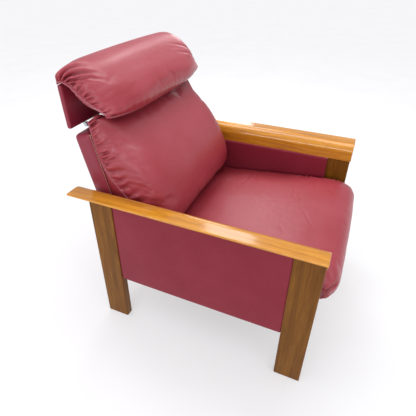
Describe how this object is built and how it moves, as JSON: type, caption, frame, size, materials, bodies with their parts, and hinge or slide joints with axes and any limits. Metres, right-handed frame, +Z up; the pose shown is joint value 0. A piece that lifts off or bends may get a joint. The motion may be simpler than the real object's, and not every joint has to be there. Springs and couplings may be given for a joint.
{
  "type": "recliner armchair",
  "caption": "Reclining armchair with leather cushions, lacquered wooden side frames, a sliding seat, a tilting back and a hinged headrest pillow.",
  "frame": {"origin": "on the floor, under the middle of the chair's box at rest", "axes": "+Z up, the sitter faces -Y, the sitter's right side is -X"},
  "size_m": [0.824, 0.9132, 0.9648],
  "materials": {
    "lacquered_beech": "gloss lacquer over honey stained beech",
    "raw_beech": "planed, unfinished",
    "hardboard": "raw board",
    "burgundy_leather": "semi gloss, fine grain",
    "webbing": "woven elastic",
    "felt_pad": "felt",
    "glide_felt": "matte",
    "nylon": "matte",
    "zinc_steel": "zinc plated"
  },
  "bodies": {
    "root": {"arm_dowels": "raw_beech", "armrest_left": "lacquered_beech", "armrest_right": "lacquered_beech", "base_screws": "zinc_steel", "corner_brackets": "zinc_steel", "friction_spacers": "nylon", "front_cross_rail": "raw_beech", "leg_front_left": "lacquered_beech", "leg_front_right": "lacquered_beech", "leg_glides": "glide_felt", "leg_rear_left": "lacquered_beech", "leg_rear_right": "lacquered_beech", "panel_dowels": "raw_beech", "pivot_nuts": "zinc_steel", "pivot_plates": "zinc_steel", "pivot_studs": "zinc_steel", "rear_cross_rail": "raw_beech", "seat_track_left": "zinc_steel", "seat_track_right": "zinc_steel", "side_cover_inner_left": "burgundy_leather", "side_cover_inner_right": "burgundy_leather", "side_cover_outer_left": "burgundy_leather", "side_cover_outer_right": "burgundy_leather", "side_panel_core_left": "raw_beech", "side_panel_core_right": "raw_beech"},
    "seat": {"seat_base_pad": "felt_pad", "seat_cushion": "burgundy_leather", "seat_front_rail": "raw_beech", "seat_link_brackets": "zinc_steel", "seat_rear_rail": "raw_beech", "seat_runner_left": "nylon", "seat_runner_right": "nylon", "seat_screws": "zinc_steel", "seat_side_rail_left": "raw_beech", "seat_side_rail_right": "raw_beech", "seat_springs": "zinc_steel", "spring_clips": "zinc_steel"},
    "back": {"back_bottom_rail": "raw_beech", "back_cover_left": "burgundy_leather", "back_cover_rear": "burgundy_leather", "back_cover_right": "burgundy_leather", "back_cover_top": "burgundy_leather", "back_cushion": "burgundy_leather", "back_link_plates": "zinc_steel", "back_rear_board": "hardboard", "back_stile_left": "raw_beech", "back_stile_right": "raw_beech", "back_top_rail": "raw_beech", "back_webbing": "webbing", "headrest_hinge_bases": "zinc_steel", "hinge_pins": "zinc_steel", "link_pins": "zinc_steel", "pivot_bushes": "nylon"},
    "headrest": {"headrest_board": "raw_beech", "headrest_hinge_arms": "zinc_steel", "headrest_panel_front": "burgundy_leather", "headrest_panel_rear": "burgundy_leather", "headrest_pillow": "burgundy_leather"}
  },
  "joints": [
    {"name": "back_recline", "type": "hinge", "parent": "root", "child": "back", "pos_m": [0, 0.325, 0.44], "axis": [-1, 0, 0], "range_deg": [0, 24]},
    {"name": "seat_slide", "type": "slide", "parent": "root", "child": "seat", "axis": [0, -0.9954, 0.0958], "range_m": [0, 0.0826]},
    {"name": "headrest_tilt", "type": "hinge", "parent": "back", "child": "headrest", "pos_m": [0, 0.43386, 0.75151], "axis": [-1, 0, 0], "range_deg": [0, 30]}
  ],
  "couplings": [
    {"joint": "seat_slide", "follows": "back_recline", "m_per_rad": 0.1961}
  ]
}
